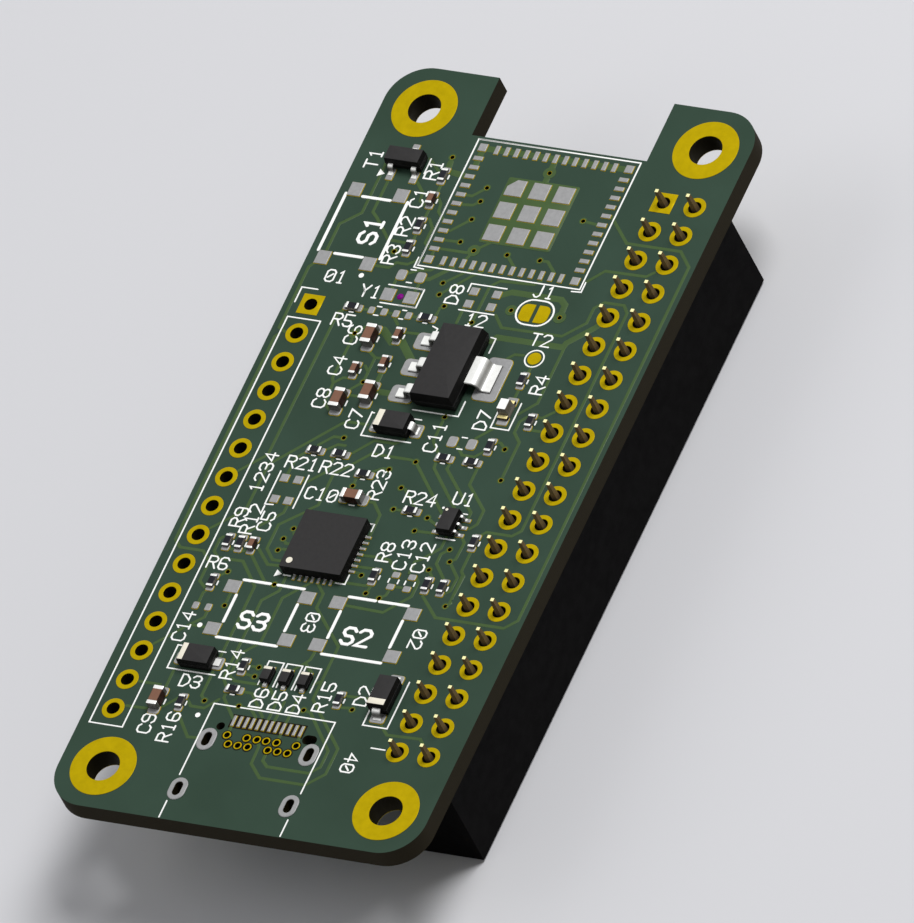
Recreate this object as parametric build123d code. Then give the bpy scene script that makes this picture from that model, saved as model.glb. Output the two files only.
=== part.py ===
"""A radio hat board for a small computer, in millimetres.

The board plugs onto a 40-way pin header with the socket on its underside. It is sold part
fitted: the small chips are on it, and the radio module, the three push buttons and the USB
connector are not, so their soldered pads lie open.

The origin is the middle of the four mounting holes, on the underside of the board. +X runs
from the antenna notch to the connector end, +Y to the edge that carries the socket, and +Z
is the side with the parts.
"""

import math
import os

from build123d import *

# The board
BOARD_LENGTH = 65.0
BOARD_WIDTH = 30.0
BOARD_THICKNESS = 1.6
CORNER_RADIUS = 3.0
NOTCH_DEPTH = 5.1
NOTCH_WIDTH = 14.3
NOTCH_CENTRE_Y = 0.25

# The mounting holes, and the plated land round each
MOUNT_INSET = 3.5
MOUNT_HOLE_RADIUS = 1.25
MOUNT_LAND_RADIUS = 2.5

# The plated holes of the socket and of the long row, and the land round each, drawn with few sides
PITCH = 2.54
DRILL_RADIUS = 0.51
LAND_RADIUS = 0.87
ROUND_SIDES = 10
LAND_HEIGHT = 0.05
FIRST_LAND_WIDTH = 1.7

# The 2 by 20 socket under the board
SOCKET_COLUMNS = 20
SOCKET_ROWS = 2
SOCKET_INSET = 3.5
HOUSING_MARGIN = 1.37
HOUSING_WIDTH = 5.0
HOUSING_HEIGHT = 8.5
CAVITY_LENGTH = 1.5
CAVITY_WIDTH = 0.9
MOUTH_WIDTH = 0.9
MOUTH_DEPTH = 0.7
MOUTH_FLARE = 25.0

# A stamped contact of the socket: tail, shoulder and two springs
TAIL_WIDTH = 0.42
TAIL_ABOVE_BOARD = 1.5
TAIL_TIP_LENGTH = 1.5
TAIL_TIP_WIDTH = 0.26
SHOULDER_HEIGHT = 1.2
SPRING_REACH = 6.0
SPRING_GAP = 0.44
SPRING_TIP = 0.2
SPRING_ROOT = 0.35

# The row of plated holes along the other long edge: as many as fit between these insets
BREAKOUT_INSET = 2.12
BREAKOUT_FIRST_INSET = 21.13
BREAKOUT_LAST_INSET = 8.3

# Solder on open pads
SOLDER_HEIGHT = 0.08

# The small parts' places below are those on a board of this size. On another size, the ones up to
# the module's end keep to the notch end, and the others share what room is left. The strips along
# the long edges keep their width
DRAWN_LENGTH = 65.0
DRAWN_WIDTH = 30.0
MODULE_END_X = -16.2
EDGE_STRIP = 4.2

# The radio module's pads, from the middle of the module
MODULE_INSET = 10.98
MODULE_CENTRE_Y = 0.43
MODULE_PITCH = 0.8
MODULE_PAD_LENGTH = 0.8
MODULE_PAD_WIDTH = 0.4
MODULE_SIDE_PADS = 13
MODULE_SIDE_REACH = 4.9
MODULE_END_PADS = 11
MODULE_END_REACH = 5.94
MODULE_CORNER_PAD = 0.7
MODULE_CORNER_REACH = (4.95, 5.98)
THERMAL_PAD = 1.45
THERMAL_PITCH = 1.98
THERMAL_PER_SIDE = 3
THERMAL_CUT = 0.65

# A push button's four pads, from its middle: a button at 0 degrees has its pads 6 mm apart along Y
BUTTON_PAD = (1.1, 1.2)
BUTTON_PAD_REACH = (1.85, 3.02)
BUTTONS = [(14.6, 3.3, 0), (14.6, -5.28, 0), (-18.42, -11.85, 90)]

# The USB connector's fingers, shell slots and peg holes, from the +X edge
CONNECTOR_CENTRE_Y = -0.5
FINGER_COUNT = 12
FINGER_PITCH = 0.5
FINGER_LENGTH = 0.95
FINGER_WIDTH = 0.3
FINGER_INSET = 8.82
SHELL_SLOT = (1.1, 0.55)
SHELL_RIM = 0.4
SLOT_CORNER = 0.17
SHELL_REAR_INSET = 7.01
SHELL_REAR_REACH = 4.15
SHELL_FRONT_INSET = 2.62
SHELL_FRONT_REACH = 4.52
PEG_INSET = 8.25
PEG_REACH = 3.6
PEG_RADIUS = 0.33
PEG_SLOT = (0.8, 1.15)

# Open pads of small parts: pad size and distance from the middle, and where the parts would sit
PAD_0402 = (0.53, 0.61, 0.5)
PAD_0603 = (0.8, 0.95, 0.78)
CRYSTAL_PAD = (1.05, 1.1, 0.93)
OPEN_0402 = [(-11.64, -7.49, 90), (-11.64, -5.49, 90), (14.77, -9.9, 90), (10.2, 3.58, 0), (10.2, 4.9, 0)]
OPEN_0603 = [(-1.85, 3.8, 90), (-14.93, -6.25, 90)]
CRYSTAL = (-13.15, -6.39, 90)
SQUARE_PAD = 0.7
SQUARE_GROUPS = [(-13.92, 0.06, 1.1, 1.84), (4.15, -7.82, 1.84, 1.1)]
GLUE_DOT_RADIUS = 0.22
GLUE_DOT_HEIGHT = 0.12
GLUE_DOT_DRAFT = 30

# The solder jumper and the test point
JUMPER_CENTRE = (-13.4, 4.5)
JUMPER_PAD = (1.5, 1.02)
JUMPER_GAP = 0.3
JUMPER_CORNER = 0.49
TEST_POINT_CENTRE = (-9.7, 6.15)
TEST_POINT_RADIUS = 0.52

# Chip resistors and capacitors: length, width, height and length of the end caps
RESISTOR_SIZE = (1.0, 0.5, 0.35, 0.22)
SMALL_CAPACITOR_SIZE = (1.0, 0.5, 0.5, 0.24)
LARGE_CAPACITOR_SIZE = (1.6, 0.8, 0.8, 0.34)
CAP_STEP = 0.02

# Where the chips sit: x, y and turn
RESISTORS = [
    (-23.6, -7.48, 0), (-19.22, -7.46, 0), (-17.22, -7.48, 0), (-7.71, 6.11, 0), (-1.88, 6.09, 0),
    (-4.43, 8.23, 0), (6.17, 8.41, 0), (10.17, 2.08, 0), (10.23, 6.4, 0), (10.24, 7.65, 0),
    (9.17, -10.29, 0), (9.17, -9.27, 0), (12.66, -9.99, 0), (19.16, -4.47, 0), (20.66, 3.96, 0),
    (22.85, -7.92, 0), (-11.64, -9.51, 90), (-11.64, -3.49, 90), (-0.35, 3.04, 90), (-0.35, 5.31, 90),
    (0.62, -7.04, 90), (0.62, -5.0, 90), (1.97, -2.44, 90), (4.38, 2.49, 90), (21.17, -4.37, 90),
]
SMALL_CAPACITORS = [
    (-21.46, -7.47, 0), (-9.85, -4.95, 0), (-7.37, -4.97, 0), (-6.48, -7.0, 0), (9.18, -8.27, 0),
]
LARGE_CAPACITORS = [
    (-9.32, -6.96, 0), (-4.64, -4.98, 0), (-3.67, -7.0, 0), (23.0, -9.72, 0), (4.09, -2.31, 90),
]

# Moulded bodies are length, width and height. A lead is its width, its thickness, how far it
# reaches from the middle of the body, and the length of its foot that lies on the board
DRAFT = 7.0
BODY_LIFT = 0.1
LEAD_DROP = 0.05

REGULATOR_CENTRE = (-7.42, 0.61, 0)
REGULATOR_BODY = (6.5, 3.5, 1.6)
REGULATOR_TAB = (2.4, 0.26, 3.5, 0.75)
REGULATOR_LEAD = (0.72, 0.26, 3.5, 0.75)
REGULATOR_LEAD_PITCH = 2.3

DIODE_BODY = (1.55, 2.7, 1.1)
DIODE_LEAD = (0.62, 0.14, 1.88, 0.32)
FORMED_DIODES = [(-2.26, -1.88, 0), (19.95, 7.52, 90)]

TRANSISTOR_CENTRE = (-24.25, -10.65, -90)
TRANSISTOR_BODY = (2.9, 1.3, 1.0)
TRANSISTOR_LEAD = (0.42, 0.13, 1.25, 0.25)
TRANSISTOR_LEAD_PITCH = 0.95

BUFFER_CENTRE = (5.06, 6.05, 0)
BUFFER_BODY = (2.0, 1.25, 0.9)
BUFFER_LEAD = (0.22, 0.13, 1.05, 0.2)
BUFFER_LEAD_PITCH = 0.65

# A flat lead lies on the board all the way: width, thickness and reach
FLAT_DIODE = (19.22, -8.26, 0)
FLAT_DIODE_BODY = (1.6, 2.6, 1.0)
FLAT_DIODE_LEAD = (0.62, 0.22, 1.88)
CLAMP_BODY = (0.8, 1.2, 0.6)
CLAMP_LEAD = (0.32, 0.14, 0.82)
CLAMP_DIODES = [(19.69, 0.82, 90), (19.69, -0.7, 90), (19.69, -2.21, 90)]

BRIDGE_CENTRE = (8.55, -2.5, 0)
BRIDGE_BODY = (5.0, 5.0, 0.9)
BRIDGE_LIFT = 0.05
BRIDGE_DIE_PAD = 3.2

LIGHT_CENTRE = (-5.0, 6.08, 0)
LIGHT_BASE = (1.6, 0.8, 0.35)
LIGHT_LENS = (1.0, 0.8, 0.65)
LENS_DRAFT = 3.0

# Worked out from the sizes above
BOARD_TOP = BOARD_THICKNESS
LAND_TOP = BOARD_TOP + LAND_HEIGHT
SOCKET_CENTRE_Y = BOARD_WIDTH / 2 - SOCKET_INSET
BREAKOUT_Y = BREAKOUT_INSET - BOARD_WIDTH / 2
BREAKOUT_STEPS = int((BOARD_LENGTH - BREAKOUT_FIRST_INSET - BREAKOUT_LAST_INSET) / PITCH)
BREAKOUT_CENTRE_X = BREAKOUT_FIRST_INSET - BOARD_LENGTH / 2 + BREAKOUT_STEPS * PITCH / 2
MODULE_CENTRE_X = MODULE_INSET - BOARD_LENGTH / 2
MOUNT_SPACING_X = BOARD_LENGTH - 2 * MOUNT_INSET
MOUNT_SPACING_Y = BOARD_WIDTH - 2 * MOUNT_INSET


def edge_x(inset):
    """The x of a point that lies this far in from the connector end."""
    return BOARD_LENGTH / 2 - inset


def laid_out(x, y, turn=0):
    """Where a small part's place on the drawn board lies on this one."""
    shift = (DRAWN_LENGTH - BOARD_LENGTH) / 2
    free = DRAWN_LENGTH / 2 - MODULE_END_X
    beyond = max(x - MODULE_END_X, 0)
    spread_x = x + shift - beyond * 2 * shift / free
    spread_y = y * (BOARD_WIDTH - 2 * EDGE_STRIP) / (DRAWN_WIDTH - 2 * EDGE_STRIP)
    return Pos(spread_x, spread_y) * Rot(0, 0, turn)


def at(places, shape):
    """A copy of the shape, or of the sketch, at each place."""
    return [place * shape for place in places]


def mount_places():
    return GridLocations(MOUNT_SPACING_X, MOUNT_SPACING_Y, 2, 2)


def socket_places():
    """The contacts of the socket, seen from above, from the first at the lower left."""
    middle = Pos(0, SOCKET_CENTRE_Y)
    return [middle * spot for spot in GridLocations(PITCH, PITCH, SOCKET_COLUMNS, SOCKET_ROWS)]


def breakout_places():
    middle = Pos(BREAKOUT_CENTRE_X, BREAKOUT_Y)
    return [middle * spot for spot in GridLocations(PITCH, 0, BREAKOUT_STEPS + 1, 1)]


def shell_places():
    """The four slots that hold the connector's shell."""
    pairs = ((SHELL_REAR_INSET, SHELL_REAR_REACH), (SHELL_FRONT_INSET, SHELL_FRONT_REACH))
    return [
        Pos(edge_x(inset), CONNECTOR_CENTRE_Y + side * reach)
        for inset, reach in pairs
        for side in (-1, 1)
    ]


def first_of(places):
    """The place nearest the notch and the middle of the board: pin 1, whose land is square."""
    return min(places, key=lambda place: (round(place.position.X, 3), abs(place.position.Y)))


def board_outline():
    plate = RectangleRounded(BOARD_LENGTH, BOARD_WIDTH, CORNER_RADIUS)
    notch_x = (NOTCH_DEPTH - BOARD_LENGTH) / 2
    return plate - Pos(notch_x, NOTCH_CENTRE_Y) * Rectangle(NOTCH_DEPTH, NOTCH_WIDTH)


def small_slot(length, width, corner):
    """A short slot, whose round ends are drawn as cut corners."""
    outline = Rectangle(length, width)
    return chamfer(outline.vertices(), corner)


def pierced(sketch, holes):
    """The sketch's one face with a hole in it for each sketch of the list."""
    return sketch.face().make_holes([hole.face().outer_wire() for hole in holes])


def land(place, shape, drill):
    """One plated land on the board's top, with its hole."""
    return extrude(Pos(0, 0, BOARD_TOP) * pierced(place * shape, [place * drill]), LAND_HEIGHT)


def make_board():
    """The board with its plated lands, which stand a little proud, and every hole drilled through."""
    mounts, pins, breakouts = list(mount_places()), socket_places(), breakout_places()
    first_pins = (first_of(pins), first_of(breakouts))
    mount_drill, pin_drill = Circle(MOUNT_HOLE_RADIUS), RegularPolygon(DRILL_RADIUS, ROUND_SIDES)
    round_land = RegularPolygon(LAND_RADIUS, ROUND_SIDES)
    square_land = Rectangle(FIRST_LAND_WIDTH, FIRST_LAND_WIDTH)
    lands = [land(place, Circle(MOUNT_LAND_RADIUS), mount_drill) for place in mounts]
    for place in pins + breakouts:
        lands.append(land(place, square_land if place in first_pins else round_land, pin_drill))
    peg_x = edge_x(PEG_INSET)
    holes = [
        *at(mounts, mount_drill),
        *at(pins + breakouts, pin_drill),
        *at(shell_places(), small_slot(*SHELL_SLOT, SLOT_CORNER)),
        Pos(peg_x, CONNECTOR_CENTRE_Y - PEG_REACH) * RegularPolygon(PEG_RADIUS, ROUND_SIDES),
        Pos(peg_x, CONNECTOR_CENTRE_Y + PEG_REACH) * small_slot(*PEG_SLOT, SLOT_CORNER),
    ]
    return extrude(pierced(board_outline(), holes), BOARD_THICKNESS) + lands


def make_housing():
    """The socket's moulding: a bar with a flared mouth and a cavity for each contact."""
    length = (SOCKET_COLUMNS - 1) * PITCH + 2 * HOUSING_MARGIN
    bar = extrude(Pos(0, SOCKET_CENTRE_Y) * Rectangle(length, HOUSING_WIDTH), -HOUSING_HEIGHT)
    cavity = extrude(Rectangle(CAVITY_LENGTH, CAVITY_WIDTH), MOUTH_DEPTH - HOUSING_HEIGHT)
    flare = 2 * MOUTH_DEPTH * math.tan(math.radians(MOUTH_FLARE))
    mouth = extrude(Rectangle(MOUTH_WIDTH + flare, MOUTH_WIDTH + flare), MOUTH_DEPTH, taper=MOUTH_FLARE)
    mouth = Pos(0, 0, -HOUSING_HEIGHT) * mouth
    return bar - at(socket_places(), cavity) - at(socket_places(), mouth)


def make_contact():
    """One stamped contact: its shoulder fills the cavity's length, and two springs close towards the mouth."""
    tail_top = BOARD_TOP + TAIL_ABOVE_BOARD
    half = [
        (TAIL_TIP_WIDTH / 2, tail_top),
        (TAIL_WIDTH / 2, tail_top - TAIL_TIP_LENGTH),
        (TAIL_WIDTH / 2, 0),
        (CAVITY_LENGTH / 2, 0),
        (CAVITY_LENGTH / 2, -SHOULDER_HEIGHT),
        (SPRING_GAP / 2 + SPRING_TIP, -SHOULDER_HEIGHT - SPRING_REACH),
        (SPRING_GAP / 2, -SHOULDER_HEIGHT - SPRING_REACH),
        (CAVITY_LENGTH / 2 - SPRING_ROOT, -SHOULDER_HEIGHT),
    ]
    outline = half + [(-x, z) for x, z in reversed(half)]
    blank = extrude(Plane.XZ * make_face(Polyline(outline, close=True)), TAIL_WIDTH / 2, both=True)
    tip = [
        (-TAIL_WIDTH / 2, -HOUSING_HEIGHT),
        (-TAIL_WIDTH / 2, tail_top - TAIL_TIP_LENGTH),
        (-TAIL_TIP_WIDTH / 2, tail_top),
        (TAIL_TIP_WIDTH / 2, tail_top),
        (TAIL_WIDTH / 2, tail_top - TAIL_TIP_LENGTH),
        (TAIL_WIDTH / 2, -HOUSING_HEIGHT),
    ]
    return blank & strip(tip, CAVITY_LENGTH)


def strip(outline, width):
    """A strip of this width along X whose outline in the YZ plane is a list of points."""
    return extrude(Plane.YZ * make_face(Polyline(outline, close=True)), width / 2, both=True)


def solder(width, depth):
    """Solder on a pad, with its middle at the origin."""
    return extrude(Pos(0, 0, BOARD_TOP) * Rectangle(width, depth), SOLDER_HEIGHT)


def marked_pad():
    """The thermal pad nearest the notch and the long row: its cut corner shows how the module goes on."""
    outline = Rectangle(THERMAL_PAD, THERMAL_PAD)
    corner = min(outline.vertices(), key=lambda vertex: vertex.X + vertex.Y)
    return extrude(Pos(0, 0, BOARD_TOP) * chamfer(corner, THERMAL_CUT), SOLDER_HEIGHT)


def make_module_pads():
    side = solder(MODULE_PAD_LENGTH, MODULE_PAD_WIDTH)
    end = solder(MODULE_PAD_WIDTH, MODULE_PAD_LENGTH)
    corner = solder(MODULE_CORNER_PAD, MODULE_CORNER_PAD)
    thermal = solder(THERMAL_PAD, THERMAL_PAD)
    corner_x, corner_y = MODULE_CORNER_REACH
    first, *others = GridLocations(THERMAL_PITCH, THERMAL_PITCH, THERMAL_PER_SIDE, THERMAL_PER_SIDE)
    pads = [
        *at(GridLocations(2 * MODULE_SIDE_REACH, MODULE_PITCH, 2, MODULE_SIDE_PADS), side),
        *at(GridLocations(MODULE_PITCH, 2 * MODULE_END_REACH, MODULE_END_PADS, 2), end),
        *at(GridLocations(2 * corner_x, 2 * corner_y, 2, 2), corner),
        first * marked_pad(),
        *at(others, thermal),
    ]
    return at([Pos(MODULE_CENTRE_X, MODULE_CENTRE_Y)], Compound(pads))


def make_button_pads():
    reach_x, reach_y = BUTTON_PAD_REACH
    four = Compound(at(GridLocations(2 * reach_x, 2 * reach_y, 2, 2), solder(*BUTTON_PAD)))
    return [on_board(place, four) for place in BUTTONS]


def make_finger_pads():
    middle = Pos(edge_x(FINGER_INSET), CONNECTOR_CENTRE_Y)
    fingers = at(GridLocations(0, FINGER_PITCH, 1, FINGER_COUNT), solder(FINGER_LENGTH, FINGER_WIDTH))
    return at([middle], Compound(fingers))


def make_shell_pads():
    slot_length, slot_width = SHELL_SLOT
    corner = SLOT_CORNER + SHELL_RIM / 2
    rim = small_slot(slot_length + 2 * SHELL_RIM, slot_width + 2 * SHELL_RIM, corner)
    rim = pierced(rim, [small_slot(*SHELL_SLOT, SLOT_CORNER)])
    return at(shell_places(), extrude(Pos(0, 0, BOARD_TOP) * rim, SOLDER_HEIGHT))


def pad_pair(length, width, reach):
    return Compound(at(GridLocations(2 * reach, 0, 2, 1), solder(length, width)))


def make_open_pads():
    """The pads of the small parts that aren't fitted."""
    pads = [on_board(place, pad_pair(*PAD_0402)) for place in OPEN_0402]
    pads += [on_board(place, pad_pair(*PAD_0603)) for place in OPEN_0603]
    pads.append(on_board(CRYSTAL, pad_pair(*CRYSTAL_PAD)))
    for x, y, pitch_x, pitch_y in SQUARE_GROUPS:
        square = at(GridLocations(pitch_x, pitch_y, 2, 2), solder(SQUARE_PAD, SQUARE_PAD))
        pads.append(laid_out(x, y) * Compound(square))
    return pads


def make_jumper():
    """Two bare pads with their outer corners round, and a round test point."""
    width, depth = JUMPER_PAD
    pad = Rectangle(width, depth)
    pad = fillet(pad.vertices().group_by(Axis.Y)[-1], JUMPER_CORNER)
    shift = (depth + JUMPER_GAP) / 2
    halves = [laid_out(*JUMPER_CENTRE, turn) * Pos(0, shift) * pad for turn in (0, 180)]
    point = laid_out(*TEST_POINT_CENTRE) * RegularPolygon(TEST_POINT_RADIUS, ROUND_SIDES)
    return [extrude(Pos(0, 0, BOARD_TOP) * face, LAND_HEIGHT) for face in (*halves, point)]


def make_glue_dot():
    dot = RegularPolygon(GLUE_DOT_RADIUS, ROUND_SIDES)
    return on_board(CRYSTAL, Pos(0, 0, BOARD_TOP) * extrude(dot, GLUE_DOT_HEIGHT, taper=GLUE_DOT_DRAFT))


def on_board(place, shape):
    """The shape, which is modelled at the origin, turned and moved to its place."""
    return laid_out(*place) * shape


def make_chip(length, width, height, cap):
    """A ceramic chip along X, with a metal cap over each end that stands a little proud."""
    core = Box(length - cap, width - 2 * CAP_STEP, height - 2 * CAP_STEP)
    caps = at(GridLocations(length - cap, 0, 2, 1), Box(cap, width, height))
    return Pos(0, 0, BOARD_TOP + height / 2) * (core + caps)


def moulded(length, width, height, lift):
    """A moulded body that narrows above and below its middle, where the mould parts."""
    half = extrude(Rectangle(length, width), height / 2, taper=DRAFT)
    return Pos(0, 0, BOARD_TOP + lift + height / 2) * (half + mirror(half, Plane.XY))


def formed_lead(body, lead):
    """A lead that leaves the body's long side at half its height, slopes down and ends in a flat foot."""
    width, thickness, reach, foot = lead
    wall = body[1] / 2
    leave = body[2] / 2 - LEAD_DROP
    root, bend, knee, back = wall / 2, wall + thickness / 2, reach - foot, thickness / 2
    outline = [
        (root, leave + thickness), (bend, leave + thickness),
        (knee, thickness), (reach, thickness), (reach, 0), (knee - back, 0),
        (bend - back, leave), (root, leave),
    ]
    return Pos(0, 0, BOARD_TOP) * strip(outline, width)


def flat_lead(body, lead):
    """A lead that lies on the board all the way from inside the body to its reach."""
    width, thickness, reach = lead
    root = body[1] / 4
    outline = [(root, 0), (reach, 0), (reach, thickness), (root, thickness)]
    return Pos(0, 0, BOARD_TOP) * strip(outline, width)


def lead_row(lead, pitch, count):
    """This many copies of the lead, side by side along +Y's edge of the body."""
    return at(GridLocations(pitch, 0, count, 1), lead)


def other_side(leads):
    return [Rot(0, 0, 180) * lead for lead in leads]


def make_regulator():
    """The regulator: a wide tab to +Y and three leads to -Y."""
    tab = formed_lead(REGULATOR_BODY, REGULATOR_TAB)
    leads = lead_row(formed_lead(REGULATOR_BODY, REGULATOR_LEAD), REGULATOR_LEAD_PITCH, 3)
    return moulded(*REGULATOR_BODY, BODY_LIFT) + [tab, *other_side(leads)]


def make_formed_diode():
    leads = [formed_lead(DIODE_BODY, DIODE_LEAD)]
    return moulded(*DIODE_BODY, BODY_LIFT) + leads + other_side(leads)


def make_flat_diode(body, lead):
    """A diode whose leads lie flat under its ends."""
    leads = [flat_lead(body, lead)]
    return moulded(*body, 0) + leads + other_side(leads)


def make_transistor():
    """Two leads to +Y and one to -Y."""
    lead = formed_lead(TRANSISTOR_BODY, TRANSISTOR_LEAD)
    pair = lead_row(lead, 2 * TRANSISTOR_LEAD_PITCH, 2)
    return moulded(*TRANSISTOR_BODY, BODY_LIFT) + pair + other_side([lead])


def make_buffer():
    """Three leads along each long side."""
    leads = lead_row(formed_lead(BUFFER_BODY, BUFFER_LEAD), BUFFER_LEAD_PITCH, 3)
    return moulded(*BUFFER_BODY, BODY_LIFT) + leads + other_side(leads)


def make_bridge():
    """The square chip: a sawn block that stands on the metal pad under its middle."""
    length, width, height = BRIDGE_BODY
    block = Pos(0, 0, BRIDGE_LIFT) * extrude(Rectangle(length, width), height)
    under = extrude(Rectangle(BRIDGE_DIE_PAD, BRIDGE_DIE_PAD), BRIDGE_LIFT)
    return Pos(0, 0, BOARD_TOP) * (block + under)


def make_light():
    """A light: a flat base with a metal end each side, and a clear block on its middle."""
    base_length, base_width, base_height = LIGHT_BASE
    lens_length, lens_width, lens_height = LIGHT_LENS
    base = extrude(Rectangle(base_length, base_width), base_height)
    lens = extrude(Rectangle(lens_length, lens_width), lens_height, taper=LENS_DRAFT)
    return Pos(0, 0, BOARD_TOP) * (base + Pos(0, 0, base_height) * lens)


def numbered(name, places, shape, start=1):
    """A node for each place: name_01, name_02 and on."""
    return {f"{name}_{i:02d}": on_board(place, shape) for i, place in enumerate(places, start)}


def make_nodes():
    nodes = {
        "board": make_board(),
        "socket_housing": make_housing(),
        "socket_contacts": at(socket_places(), make_contact()),
        "module_pads": make_module_pads(),
        "button_pads": make_button_pads(),
        "finger_pads": make_finger_pads(),
        "shell_pads": make_shell_pads(),
        "open_pads": make_open_pads(),
        "jumper_pads": make_jumper(),
        "glue_dot": make_glue_dot(),
        "regulator": on_board(REGULATOR_CENTRE, make_regulator()),
        "flat_diode": on_board(FLAT_DIODE, make_flat_diode(FLAT_DIODE_BODY, FLAT_DIODE_LEAD)),
        "transistor": on_board(TRANSISTOR_CENTRE, make_transistor()),
        "buffer_chip": on_board(BUFFER_CENTRE, make_buffer()),
        "bridge_chip": on_board(BRIDGE_CENTRE, make_bridge()),
        "status_light": on_board(LIGHT_CENTRE, make_light()),
    }
    nodes |= numbered("formed_diode", FORMED_DIODES, make_formed_diode())
    nodes |= numbered("clamp_diode", CLAMP_DIODES, make_flat_diode(CLAMP_BODY, CLAMP_LEAD))
    nodes |= numbered("resistor", RESISTORS, make_chip(*RESISTOR_SIZE))
    nodes |= numbered("capacitor", SMALL_CAPACITORS, make_chip(*SMALL_CAPACITOR_SIZE))
    large_start = len(SMALL_CAPACITORS) + 1
    nodes |= numbered("capacitor", LARGE_CAPACITORS, make_chip(*LARGE_CAPACITOR_SIZE), large_start)
    return nodes


def main():
    os.makedirs("parts", exist_ok=True)
    for name, shape in make_nodes().items():
        if isinstance(shape, list):
            shape = Compound(children=[solid for piece in shape for solid in piece.solids()])
        export_step(shape, f"parts/{name}.step")


main()
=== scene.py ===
"""The looks of a radio hat board, worked out in millimetres and put down in metres.

As in the frame, x runs from the antenna notch to the connector end, y towards the edge over the
header socket, and z up. The board's upper face lies at z = 1.6.
"""
import math

import bmesh
import bpy
import numpy as np
from mathutils import Matrix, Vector
from numpy.linalg import norm


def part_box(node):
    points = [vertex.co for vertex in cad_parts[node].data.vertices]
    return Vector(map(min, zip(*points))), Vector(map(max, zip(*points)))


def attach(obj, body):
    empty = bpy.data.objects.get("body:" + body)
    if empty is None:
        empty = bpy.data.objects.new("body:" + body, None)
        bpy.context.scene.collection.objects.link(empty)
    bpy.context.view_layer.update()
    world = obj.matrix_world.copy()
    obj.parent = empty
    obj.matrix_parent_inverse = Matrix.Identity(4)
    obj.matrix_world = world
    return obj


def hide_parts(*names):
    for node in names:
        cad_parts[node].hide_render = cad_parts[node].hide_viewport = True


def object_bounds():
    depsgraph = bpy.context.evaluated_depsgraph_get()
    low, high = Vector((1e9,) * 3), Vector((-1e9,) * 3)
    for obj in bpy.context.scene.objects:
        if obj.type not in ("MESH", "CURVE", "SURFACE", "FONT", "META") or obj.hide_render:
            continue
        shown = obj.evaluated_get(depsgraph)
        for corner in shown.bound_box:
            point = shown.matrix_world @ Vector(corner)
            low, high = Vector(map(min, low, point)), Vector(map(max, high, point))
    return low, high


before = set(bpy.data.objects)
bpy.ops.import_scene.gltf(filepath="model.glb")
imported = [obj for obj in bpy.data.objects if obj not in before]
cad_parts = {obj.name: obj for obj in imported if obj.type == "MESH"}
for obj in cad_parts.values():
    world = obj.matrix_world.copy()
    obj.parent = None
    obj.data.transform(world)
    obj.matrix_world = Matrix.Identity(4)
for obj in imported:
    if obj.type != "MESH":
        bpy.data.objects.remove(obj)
cad_box = [list(corner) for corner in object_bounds()]

MM = 0.001
TOP = 1.6


# Surfaces. A shape is its points, and its faces of four corners each

def sheet_of(points, around=False):
    """The quads between the rows and columns of a grid of points. Where it goes around, its last
    column joins the first."""
    index = np.arange(points.shape[0] * points.shape[1]).reshape(points.shape[:2])
    left = index if around else index[:, :-1]
    right = np.roll(index, -1, axis=1) if around else index[:, 1:]
    faces = np.stack([left[:-1], right[:-1], right[1:], left[1:]], axis=-1)
    return points.reshape(-1, 3), faces.reshape(-1, 4)


def together(shapes):
    """One shape of several."""
    counts = [len(points) for points, _ in shapes]
    starts = np.cumsum([0] + counts[:-1])
    faces = [faces + start for (_, faces), start in zip(shapes, starts)]
    return np.concatenate([points for points, _ in shapes]), np.concatenate(faces)


def moved(shape, x=0.0, y=0.0, z=0.0, turn=0.0):
    """The shape turned about z by so many degrees, and then shifted."""
    points, faces = shape
    c, s = math.cos(math.radians(turn)), math.sin(math.radians(turn))
    across = points @ np.array([[c, s, 0], [-s, c, 0], [0, 0, 1]])
    return across + (x, y, z), faces


def copies(shape, places):
    """The shape once for each x, y and turn."""
    return together([moved(shape, x, y, 0, turn) for x, y, turn in places])


def round_corners(length, width, corner, steps=3):
    """Points round a rectangle with round corners: at each corner a quarter circle, whose angle
    runs on from the one before."""
    angle = np.radians(np.arange(4)[:, None] * 90 + np.linspace(0, 90, steps + 1))
    right, up = np.array([1, -1, -1, 1]), np.array([1, 1, -1, -1])
    x = right[:, None] * (length / 2 - corner) + corner * np.cos(angle)
    y = up[:, None] * (width / 2 - corner) + corner * np.sin(angle)
    return np.stack([x.ravel(), y.ravel()], axis=-1)


def layered(rings, height):
    """A closed block: rings of points one over the other, each at its own height over the board,
    with a point to close each end."""
    rings = [rings[0] * 0, *rings, rings[-1] * 0]
    height = TOP + np.concatenate([height[:1], height, height[-1:]])
    return sheet_of(np.stack([np.insert(r, 2, z, axis=1) for r, z in zip(rings, height)]), True)


def stack(length, width, corner, profile, steps=3):
    """A block of rounded rectangles, each smaller all round by the profile's first number and at
    the height of its second."""
    inset, height = np.array(profile, float).T
    sizes = [(length - 2 * d, width - 2 * d, max(corner - d, 0.004)) for d in inset]
    return layered([round_corners(*size, steps) for size in sizes], height)


def stack_of(edge, profile):
    """A block of any outline, which shrinks towards its middle by the profile's first number."""
    reach = norm(edge, axis=1).mean()
    inset, height = np.array(profile, float).T
    return layered([edge * (1 - d / reach) for d in inset], height)


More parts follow.
